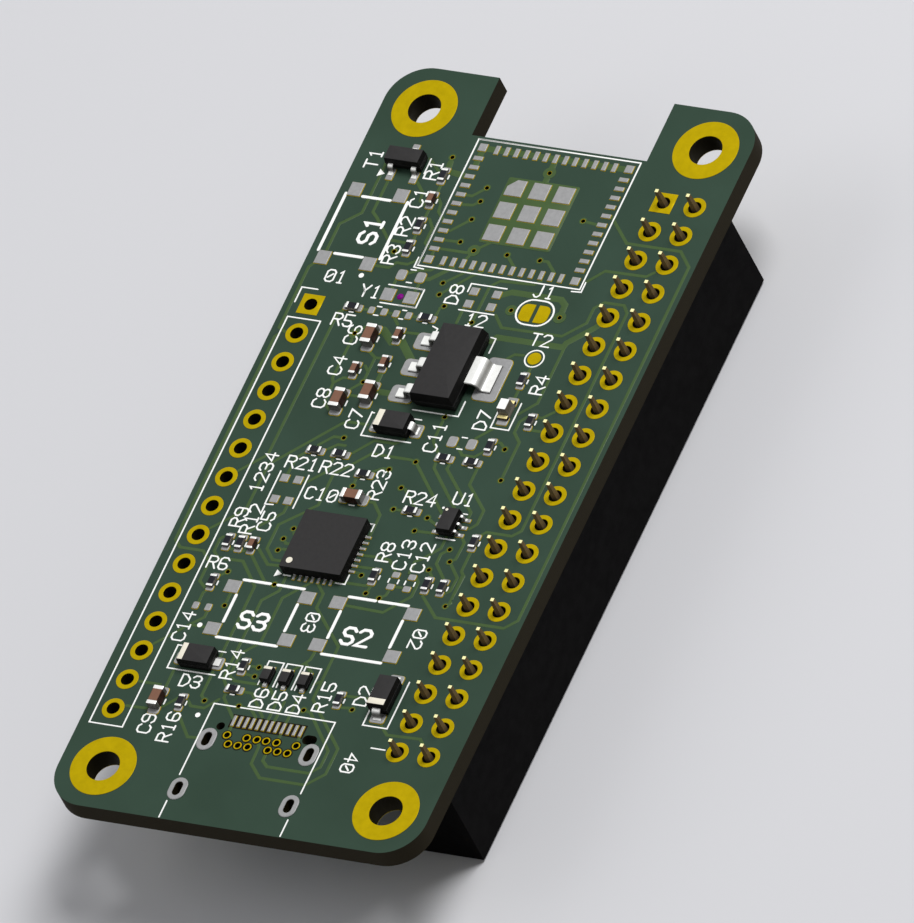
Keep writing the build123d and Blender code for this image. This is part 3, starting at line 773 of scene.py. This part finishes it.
def end_cap(length, width, height, edge):
    """A dipped metal end: a block whose edges are rounded by this much all round."""
    near, far = edge * 0.3, edge * 0.08
    rise = [(edge, 0), (near, near), (0, edge), (0, height - edge)]
    over = [(far, height - edge / 2), (near, height - near), (edge, height)]
    return stack(length, width, edge, rise + over, steps=4)


def moulded(length, width, height, lift=0.1, draft=0.1, edge=0.06):
    """A moulded body: it narrows above and below a thin ledge where the mould parts."""
    middle = lift + height / 2
    levels = [
        (draft + edge, lift), (draft, lift + edge), (0.015, middle - 0.02), (0, middle - 0.015),
        (0, middle + 0.015), (0.015, middle + 0.02), (draft, lift + height - edge),
        (draft + edge * 0.3, lift + height - edge * 0.3), (draft + edge, lift + height),
    ]
    return stack(length, width, 0.06, levels)


def lead(width, thickness, wall, reach, foot, leave, bend=0.18, knee=None):
    """A formed lead towards +y. It leaves the body at the height leave, past the wall, and bends
    at the knee. Then it goes down a slope, and along the pad for the length of its foot, up to its
    reach. All its corners are rounded by the bend."""
    low = thickness / 2
    knee = knee or wall + thickness
    path = arc([(wall * 0.8, leave), (knee, leave), (reach - foot, low), (reach, low)], bend)
    return moved(strip(path, round_corners(width, thickness, thickness * 0.2, 1)), z=TOP)


def both_sides(shape, offsets=(0,)):
    """The shape at each offset along x, on one side of the body and on the other."""
    return [moved(shape, x) for x in offsets] + other_side(shape, offsets)


def other_side(shape, offsets=(0,)):
    return [moved(shape, -x, turn=180) for x in offsets]


def make_moulded_parts():
    bodies, leads, marks = [], [], []

    def fit(places, body, parts, mark=None):
        bodies.append(copies(body, places))
        leads.extend(copies(part, places) for part in parts)
        if mark:
            marks.append(copies(mark, places))

    tab = lead(2.4, 0.26, 1.75, 3.54, 0.8, 0.88, 0.3, 2.5)
    pin = lead(0.8, 0.26, 1.75, 3.5, 0.85, 0.92, 0.24, 2.52)
    fit([REGULATOR], moulded(6.5, 3.5, 1.6, draft=0.16), [tab, *other_side(pin, (-2.3, 0, 2.3))])

    formed = lead(0.68, 0.14, 1.35, 1.88, 0.25, 0.69, 0.3, 1.57)
    body = moulded(1.55, 2.64, 1.1, draft=0.06, edge=0.04)
    fit(FORMED_DIODES, body, both_sides(formed), band(1.35, 0.48, -0.98, 1.2))
    body = moulded(1.6, 2.6, 1.0, lift=0.0, draft=0.06, edge=0.04)
    fit([FLAT_DIODE], body, flat_leads(0.62, 0.2, 1.75), band(1.4, 0.4, -1.0, 1.0))
    body = moulded(0.8, 1.2, 0.66, lift=0.0, draft=0.05, edge=0.04)
    fit(CLAMP_DIODES, body, flat_leads(0.32, 0.16, 0.8), band(0.66, 0.22, 0.4, 0.66))

    small = lead(0.42, 0.13, 0.65, 1.27, 0.35, 0.6, 0.2, 0.86)
    parts = [moved(small, -0.95), moved(small, 0.95), *other_side(small)]
    fit([TRANSISTOR], moulded(2.9, 1.3, 1.08, draft=0.07), parts)

    thin = lead(0.22, 0.13, 0.625, 1.05, 0.2, 0.47, 0.08)
    parts = both_sides(thin, (-0.65, 0, 0.65))
    fit([BUFFER_CHIP], moulded(2.0, 1.25, 0.9, draft=0.06), parts, dot(0.11, -0.71, -0.33, 1.0))

    block = stack(5.0, 5.0, 0.05, [(0.02, 0.05), (0, 0.07), (0, 0.93), (0.02, 0.95)])
    foot = stack(0.24, 0.06, 0.01, [(0, 0.05), (0, 0.13)])
    feet = [moved(foot, i * 0.5, -2.49) for i in range(-3, 4)]
    feet = [moved(part, turn=turn) for turn in (0, 90, 180, 270) for part in feet]
    fit([BRIDGE_CHIP], block, feet, dot(0.25, 1.89, -1.9, 0.95))

    nodes = ["regulator", "flat_diode", "transistor", "buffer_chip", "bridge_chip"]
    nodes += numbered("formed_diode", 1, 2) + numbered("clamp_diode", 1, 3)
    piece("moulded_bodies", bodies, EPOXY, nodes, smooth=40)
    piece("tinned_leads", leads, TIN, smooth=40)
    piece("body_marks", marks, CREAM)


def flat_leads(width, thickness, reach):
    """A pair of leads that lie flat under the ends of the body."""
    profile = [(0.01, 0), (0, 0.01), (0, thickness - 0.02), (0.02, thickness)]
    bar = stack(width, reach * 0.6, 0.02, profile)
    return [moved(bar, 0, side * reach * 0.7) for side in (-1, 1)]


def band(length, width, y, height):
    """A printed bar across the top of a body."""
    return moved(stack(length, width, 0.02, [(0, -0.01), (0, 0.004), (0.01, 0.008)]), 0, y, height)


def dot(radius, x, y, height):
    """A printed dot at this height over the board."""
    profile = [(0, -0.01), (radius, -0.01), (radius, 0.004), (0, 0.006)]
    return moved(turned(profile, 24), x, y, TOP + height)


def make_light():
    base = stack(1.6, 0.8, 0.03, [(0, 0.02), (0, 0.33), (0.01, 0.35)])
    lens = stack(1.0, 0.8, 0.05, [(0, 0.34), (0.03, 0.95), (0.06, 1.0)])
    cap = end_cap(0.28, 0.8, 0.36, 0.03)
    ends = together([moved(cap, side * 0.665) for side in (-1, 1)])
    piece("light_base", [moved(base, *LIGHT)], CERAMIC, ["status_light"])
    piece("light_lens", [moved(lens, *LIGHT)], LENS)
    piece("light_ends", [moved(ends, *LIGHT)], ENDS)


def make_glue_dot():
    """A drop: its height falls off as the square of the distance from its middle."""
    reach, peak = 0.26, 0.12
    drop = [(r, peak * (1 - (r / reach) ** 2)) for r in np.linspace(reach, 0, 6)]
    foot = [(0, -0.01), (reach, -0.01), (reach, 0)]
    drop = moved(turned(drop + foot, 24), -13.15, -6.35, TOP)
    piece("glue_drop", [drop], GLUE, ["glue_dot"], 60)


# Copper under the mask. The edges of lines keep this far from the middle of a via, and a point of
# a track that is nearer than ON_VIA lies on it

TRACK_CLEARANCE, PRINT_CLEARANCE, ON_VIA = 0.2, 0.17, 0.32
TRACKS = paths(0.25, """
-2235 680 200 210 0 440 120 120 3105 0 80 -80 0 -555 -160 -175
-2152 600 -13 -122
-2320 -377 85 -83 0 -50
-2200 -377 40 -43 8 -90
-2040 -377 120 -123
50 -2392 -590 -13 -110
50 -2530 -755 100 10
-2395 -805 -95 -115
-2260 -1160 280 0 40 50 170 170 5 140
-2410 -1245 40 5 410 0 120 -130 230 0
-1830 1210 45 -50 5 -330 120 -110
-1280 160 95 90 -5 490 -140 140 -130 0 -60 60 0 160 60 50 1915 0 55 -55 0 -205 30 -30
50 -1336 985 36 -25 160 -160 40 -10 0 -540 40 -30
-1100 802 490 0 114 -105
50 -1350 660 -100 -10 -40 -50 0 -400 43 -80
-910 620 80 0
-985 520 5 -70 40 -40
-720 610 130 0
-1700 450 -85 -90 0 -65
-1700 120 -90 -95
-1620 380 40 -40 12 -270 58 -60 320 -5
-1870 -150 85 -95 85 -30
-1760 -290 0 -210
-1840 -380 5 -120
-1620 -100 40 -60 200 -185
-1620 -200 140 -160
35 -1620 -340 125 -135 5 -35
-1620 -450 50 -50 10 -80 60 -110
-1300 -110 130 0
-1290 -265 20 -25 70 -5
-1030 -360 5 -100
60 -810 -320 -140 -140 20 -70 -90 -110
-1165 -420 0 -50
-1165 -630 0 -40
-1165 -830 0 -40
-1130 -600 50 50
-1990 -700 70 55 130 0 30 35
-1660 -610 40 -50 30 -40 0 -90 50 -40 0 -110
-1840 -746 40 0
-1680 -850 10 60
-1480 -1420 30 -25 540 0 30 65
-860 -1420 30 -25 1790 0 60 65 0 190 80 85 170 0 50 65
-1130 -1020 20 -30 1260 -5 170 -165
-1020 -790 40 -40
-900 -845 340 -5 40 25 170 5 60 70
-580 -730 5 -40 55 -55
-1440 -540 70 0
-1440 -730 70 0
-820 -660 40 60 215 0 75 -70
-780 -590 -5 60
-700 -645 45 45
-440 -590 0 -60
50 -505 -360 0 -90
40 -650 -495 80 0
-220 -410 0 -160 25 -40 425 -405 400 -5 195 -200
-560 965 68 -75 -2 -30
-380 930 0 -75
-480 770 44 -36 96 0 75 74 334 0
-190 724 -47 -54 0 -30
-140 570 50 -50 0 -100 -60 -60
-353 567 60 -57 47 -46
4 586 139 0 194 203 120 0 47 -39
4 360 36 -5 330 345 50 0
4 250 46 5 300 300
25 95 405 405
-380 150 210 0 90 80
25 95 -12 -45 0 -320 217 -215 270 0 50 -55
-145 -75 45 -55 0 -165 130 -120
255 80 5 35 130 130 40 45
440 100 -2 90
468 390 -3 30 43 50
590 340 -5 150
120 -80 0 -50 35 -60
300 -295 -70 0
410 -100 0 30 95 90 175 0
-82 -540 2 -80 85 -85
63 -755 72 -70 155 -10
-20 -500 0 -60 50 -60
61 -550 69 5 80 5 110 -110 0 -50
540 -720 65 0 205 -200 30 -7
580 -565 130 -150 210 0 85 85 0 70
930 -780 120 130 -5 90
990 -810 215 210 0 75
880 -1090 20 -17 107 0 51 52 -4 205 191 183 615 0
1160 -925 50 -55
1340 -1020 20 -15 90 0
1500 -935 60 0 80 -85 210 -210
1640 -890 0 -120
1330 -825 110 0
970 -830 0 -200
725 -585 45 25
820 -625 35 35 0 30
920 -625 -15 35 0 30
700 843 160 0 35 30
38 900 873 235 -3 30 -20
596 734 28 26 146 -5 28 -35 29 28 92 88 116 -6 28 -30
698 675 47 -50 85 0 120 115
600 604 97 0 113 -104 30 -45 100 0
890 592 60 53
970 525 37 33 121 0 166 -158 -9 -306
1070 450 0 -55
1100 365 50 -5 35 -40
1100 210 60 -10
1095 190 5 -40 0 -130 15 -120
1020 100 -15 -30 0 -40
940 340 -80 -80 -10 -60 5 -165
950 180 5 -150
1140 -200 80 80 120 0 290 310 460 0 370 370 220 0 115 -115 0 -370 -105 -115 -150 -5 -50 -39
2190 160 10 60 290 275 140 0 65 -65 0 -340 -45 -55 -88 1
1145 -255 160 -160 390 0 115 -110 190 0
1120 -465 130 0 100 -100 680 0 70 55
1710 30 60 -5 35 -25 65 -60
1805 0 45 50 30 40
1900 -290 0 -120
1980 -335 -10 -75
2340 1210 -65 -65 10 -265 -65 -75
2125 525 -10 -35 5 -50
2015 600 5 -160
2100 75 220 0
2150 -15 170 -5
2060 -170 100 95 160 3
2240 -345 10 105 60 65
2117 -370 3 80 180 165
2040 -240 0 -230 -30 -50
2150 -490 40 0 160 150
2210 -520 90 -80 0 -110 -40 -40
2550 -550 5 -70 -125 -110 -70 -60
2000 -667 200 0 40 42
2250 -835 90 -85
2020 -970 160 0
2165 -1020 0 -170
2375 -1030 5 -170
2400 225 90 10
2400 76 90 0
2400 -327 90 0
50 -2600 45 160 0
50 -2645 640 0 -1190 155 0
-2000 -590 -65 -70 -65 -10 -45 -40
-2310 -740 110 0
-2110 -740 130 0
-1750 -550 70 0
-2290 -940 90 90 70 10 35 60
1935 185 35 -45
""")


def clear_of_vias(path, width):
    """The path in pieces that leave each via on it open: it is cut at the via, and each new end
    stands back so far that its round end meets the via's rim."""
    vias = np.concatenate([VIAS, RING_VIAS])
    back = TRACK_CLEARANCE + width / 2
    for i in range(len(path) - 1, 0, -1):
        leg = path[i] - path[i - 1]
        share = (vias - path[i - 1]) @ leg / (leg @ leg)
        aside = norm(vias - path[i - 1] - share[:, None] * leg, axis=1)
        under = np.flatnonzero((aside < TRACK_CLEARANCE) & (share > 0.1) & (share < 0.9))
        path = np.insert(path, i, vias[under[np.argsort(share[under])]], axis=0)
    runs, run = [], []
    for i, point in enumerate(path):
        gap = norm(vias - point, axis=1)
        if gap.min() > ON_VIA:
            run.append(point)
            continue
        via = vias[gap.argmin()]
        if run:
            runs.append(run + [via + back * (run[-1] - via) / norm(run[-1] - via)])
        ahead = path[i + 1] - via if i + 1 < len(path) else np.array([1.0, 0.0])
        run = [via + back * ahead / norm(ahead)]
    return [line for line in [*runs, run] if len(line) > 1 and np.ptp(line, axis=0).max() > 0.01]


def make_copper():
    """The tracks and the area under the module. Heights differ by a hair, so that no two tracks
    that cross share a face."""
    lines = []
    for i, (width, path) in enumerate(TRACKS):
        height = 0.02 + 0.0001 * (i % 9)
        lines += [stroke(run, width, height) for run in clear_of_vias(path, width)]
    area = moved(stack(5.75, 5.8, 0.15, [(0, -0.01), (0, 0.015), (0.01, 0.02)]), -21.52, 0.45)
    piece("masked_tracks", lines + [area], MASKED_COPPER)


# White print: lines, and lettering in strokes of its own

PRINT_WIDTH, PRINT_HEIGHT = 0.12, 0.035
PRINT_LINES = paths(PRINT_WIDTH, """
-2715 705 0 -1325
-2715 705 1120 0
-2715 -620 1120 0
-1595 705 0 -1325
-1660 725 85 0 5 -75
-1660 -640 85 0 5 80
590 15 0 -55
590 15 60 0
1035 10 80 0 0 -75
1115 -435 0 -55
617 680 0 -150
390 680 0 -30
-960 250 -125 0 -5 -40
-530 250 130 0 0 -370
-1110 -275 15 45 55 0
-125 -15 0 -405 -205 0
-325 -15 0 -55
-325 -400 0 -20
1830 858 405 0 0 -198 -135 0
1820 -1030 200 0 0 390
1820 -640 0 -55
1820 -1000 0 -30
2040 145 -205 0 0 -125 205 0
2040 -7 -205 0 0 -123 205 0
2040 -158 -205 0 0 -122 205 0
-585 683 235 0 0 -148 -140 0
-2490 -910 130 0
-1400 -475 0 -290
-1240 -475 0 -290
-1400 -475 160 0
-1510 150 0 -290 70 0
-1280 145 0 -285
270 -665 290 0
270 -895 290 0 -5 65
-1205 -533 0 -30
-1130 -533 0 -30
-1205 -736 0 -34
-1130 -736 0 -34
-1550 -610 0 -40
-1440 -600 0 -40
-235 400 0 -40
-135 400 0 -40
25 -2100 -930 500 0
25 -2100 -1435 500 0
25 -2095 -1070 0 -225
25 -1590 -1070 0 -225
25 1210 90 0 480
25 1710 90 0 480
25 1340 580 230 0
25 1340 75 230 0
25 1205 -280 0 -490
25 1705 -280 0 -490
25 1340 -275 230 0
25 1340 -775 230 0
2870 445 -620 0 0 -985 620 0
3100 445 140 0
3100 -540 140 0
-1010 -1150 3570 0 0 -270 -3570 0 0 270
-1270 -1290 0 -130 130 0
2410 810 0 110
""")

GLYPH_WIDTH, GLYPH_HEIGHT, GLYPH_STEP = 4, 6, 5.4
GLYPHS = {  # pen strokes on that grid, across and then up
    "0": "01 05 16 36 45 41 30 10 01|12 34", "1": "15 26 20|10 30", "2": "05 16 36 45 44 00 40",
    "3": "05 16 36 45 44 33 13|33 42 41 30 10 01", "4": "30 36 02 42",
    "5": "46 06 03 33 42 41 30 10 01", "6": "45 36 16 05 01 10 30 41 42 33 03", "7": "06 46 10",
    "8": "13 04 05 16 36 45 44 33 13 02 01 10 30 41 42 33", "9": "01 10 30 41 45 36 16 05 04 13 43",
    "R": "00 06 36 45 44 33 03|23 40", "C": "41 30 10 01 05 16 36 45", "D": "00 06 26 44 42 20 00",
    "S": "45 36 16 05 04 13 33 42 41 30 10 01", "U": "06 01 10 30 41 46", "J": "01 10 20 31 36",
    "T": "20 26|06 46", "Y": "20 23 06|23 46",
}

LABELS = {  # by the angle they are turned by, and then words, x and y
    180: """
R1 -24 -8.5
C1 -21.5 -8.6
R2 -19 -8.6
R3 -16.5 -8.6
T1 -24.2 -13.5
D8 -14 -2.3
D7 -4 4.5
R4 -7.6 7.5
C11 -2 1.5
C12 8 5
C13 8 3.5
R8 8 2
R23 2.6 -1
C7 -2.5 -5.3
C8 -3.8 -8.6
C4 -6.7 -8.6
C6 -9.4 -8.55
1234 3 -10.2
C5 7 -8.2
R12 7 -9.4
R9 7 -10.4
C14 16.6 -10.6
D2 20 5.6
R15 20.6 2.7
D4 21.5 0.8
D5 21.5 -0.7
D6 21.5 -2.2
R14 19.1 -5.5
R16 25 -8
C9 25 -9.8
S1 -18.2 -11.05
""",
    90: """
J1 -15.3 4.5
T2 -11.3 6
12 -12.1 0.3
D1 -0.2 -1.8
R24 3.2 2.7
U1 2.7 6
R22 1.8 -4.8
R21 1.8 -7.6
C10 4.1 -5
R5 -10.5 -9.85
Y1 -13.2 -8.8
01 -14 -12
R6 11 -10.3
D3 21 -8
S3 15.3 -5.5
S2 15.3 2.9
""",
    0: """
02 14.7 7.6
03 14.7 -1.1
40 25.6 7.0
""",
}


def lettering(words, x, y, turn, height, width):
    """The pen strokes of some characters, centred on a point and turned."""
    scale = height / GLYPH_HEIGHT
    step = scale * GLYPH_STEP
    start = -(len(words) - 1) * step / 2 - GLYPH_WIDTH / 2 * scale
    c, s = math.cos(math.radians(turn)), math.sin(math.radians(turn))
    shapes = []
    for i, letter in enumerate(words):
        for pen in GLYPHS[letter].split("|"):
            points = np.array([[int(a), int(b)] for a, b in pen.split()], float) * scale
            points = (points + (start + i * step, -height / 2)) @ [[c, s], [-s, c]] + (x, y)
            shapes += printed(points, width)
    return shapes


def printed(path, width):
    """A line of print, in pieces that keep off the hole of every via."""
    runs, run = [], []
    for start, end in zip(path, path[1:]):
        steps = int(norm(end - start) / 0.03) + 3
        points = start + (end - start) * np.linspace(0, 1, steps)[:, None]
        free = (norm(points[:, None] - VIAS, axis=2) > PRINT_CLEARANCE + width / 2).all(axis=1)
        edges = np.flatnonzero(free[1:] != free[:-1])
        if free[0]:
            run = run or [start]
            run.append(points[edges[0]] if len(edges) else end)
        if free[-1] and len(edges):
            runs.append(run)
            run = [points[edges[-1] + 1], end]
        elif not free[-1]:
            runs.append(run)
            run = []
    return [stroke(line, width, PRINT_HEIGHT) for line in [*runs, run] if len(line) > 1]


def make_print():
    shapes = []
    for width, path in PRINT_LINES:
        shapes += printed(path, width)
    for turn, lines in LABELS.items():
        for line in lines.strip().splitlines():
            words, x, y = line.split()
            height, width = (1.38, 0.26) if words[0] == "S" else (1.0, 0.14)  # S for a button
            shapes += lettering(words, float(x), float(y), turn, height, width)

    # A short line at each side of a chip
    small = seats(RESISTORS + SMALL_CAPACITORS) + BARE_SMALL[3:]
    large = seats(LARGE_CAPACITORS)
    for places, reach, out in ((small, 0.15, 0.38), (large, 0.2, 0.51)):
        for y in (-out, out):
            line = stroke([(-reach, y), (reach, y)], PRINT_WIDTH, PRINT_HEIGHT)
            shapes.append(copies(line, places))

    # Dots and triangles at the first pin, and the loops round the test point and the jumper
    shapes += [dot(0.2, x, y, 0.02) for x, y in ((16.3, -9.4), (-14.4, -10.1), (23.65, -6.22))]
    shapes.append(dot(0.1, 3.65, 4.75, 0.02))
    for corners in (
        [(11.1, -5.05), (10.8, -5.55), (11.4, -5.6)],
        [(-23.45, -12.6), (-22.8, -12.65), (-23.1, -12.1)],
    ):
        middle = np.mean(corners, axis=0)
        shapes.append(moved(stack_of(corners - middle, [(0, 0), (0, PRINT_HEIGHT)]), *middle))
    angle = np.linspace(0, 2 * np.pi, 33)
    loop = np.column_stack([np.cos(angle), np.sin(angle)]) * 0.72 + TEST_POINT
    shapes.append(stroke(loop, PRINT_WIDTH, PRINT_HEIGHT))
    loop = round_corners(2.15, 2.9, 1.05, 6) + (-13.475, 4.5)
    shapes.append(stroke(np.concatenate([loop, loop[:1]]), 0.15, PRINT_HEIGHT))
    piece("white_print", shapes, PRINT)


def make_gaps():
    """The dark bare laminate between the connector's fingers and round its ringed vias."""
    patch = stack(1.15, 6.05, 0.03, [(0, -0.01), (0, 0.006)])
    gaps = [moved(patch, FINGER_X, CONNECTOR_Y)]
    rim = [(0.3, TOP - 0.01), (0.4, TOP - 0.01), (0.4, TOP + 0.025), (0.3, TOP + 0.025)]
    gaps += [hoop(x, y, rim, 16) for x, y in RING_VIAS]
    piece("laminate_gaps", gaps, BARE_LAMINATE)


make_board()
make_pads()
make_chips()
make_moulded_parts()
make_light()
make_glue_dot()
make_copper()
make_print()
make_gaps()

for node, finish in (("socket_housing", SOCKET), ("socket_contacts", PIN)):
    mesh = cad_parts[node].data
    mesh.materials.clear()
    mesh.materials.append(finish)


# The room: floor, lamps and camera

def look(axes, place):
    """A placing from the three axes and the place, as a matrix of Blender's."""
    matrix = np.eye(4)
    matrix[:3, :3] = np.array(axes).T
    matrix[:3, 3] = place
    return matrix.T.tolist()


def make_floor():
    """A pale floor, 0.2 mm under the socket."""
    low = cad_box[0][2] - 0.0002
    reach = 3.0
    ends = (-reach, reach)
    corners, faces = sheet_of(np.array([[(x, y, low) for x in ends] for y in ends]))
    mesh = bpy.data.meshes.new("floor")
    mesh.from_pydata(corners, [], faces)
    paint = Paint("pale_floor", (0.62, 0.62, 0.64, 1.0), 0.9)
    mesh.materials.append(paint.material)
    floor = placed("floor", mesh)


def lamp(name, place, size, energy):
    """A square lamp at a place in metres that faces the board."""
    light = bpy.data.lights.new(name, "AREA")
    light.shape, light.size, light.energy = "SQUARE", size, energy
    out = np.array(place) / norm(place)
    side = np.cross([0, 0, 1], out)
    side /= norm(side)
    placed(name, light).matrix_world = look([side, np.cross(out, side), out], place)


FRAME_HEIGHT = 64.763  # millimetres that the camera shows


def make_camera():
    """A long lens, in the direction from which the photograph is drawn."""
    right = np.array([-0.38722, 0.86092, -0.32997])
    back = np.array([0.46324, 0.49111, 0.73771])
    back /= norm(back)
    right -= back * (right @ back)
    right /= norm(right)
    up = np.cross(back, right)
    camera = bpy.data.cameras.new("camera")
    camera.lens, camera.sensor_width = 1500, 36
    distance = FRAME_HEIGHT * camera.lens / camera.sensor_width
    camera.clip_start, camera.clip_end = 1, 10
    middle = np.array([0, 0, TOP]) + right * 3.619 - up * 0.285
    holder = placed("camera", camera)
    holder.matrix_world = look([right, up, back], (middle + back * distance) * MM)
    bpy.context.scene.camera = holder


make_floor()
lamp("key", (-0.26, 0.20, 0.60), 0.3, 4.3)
lamp("fill", (0.20, -0.45, 0.50), 0.5, 0.9)
world = bpy.data.worlds.new("room")
world.use_nodes = True
sky = world.node_tree.nodes["Background"].inputs
sky["Color"].default_value = (0.8, 0.81, 0.84, 1)
sky["Strength"].default_value = 0.3
bpy.context.scene.world = world
bpy.context.scene.view_settings.view_transform = "Standard"
make_camera()
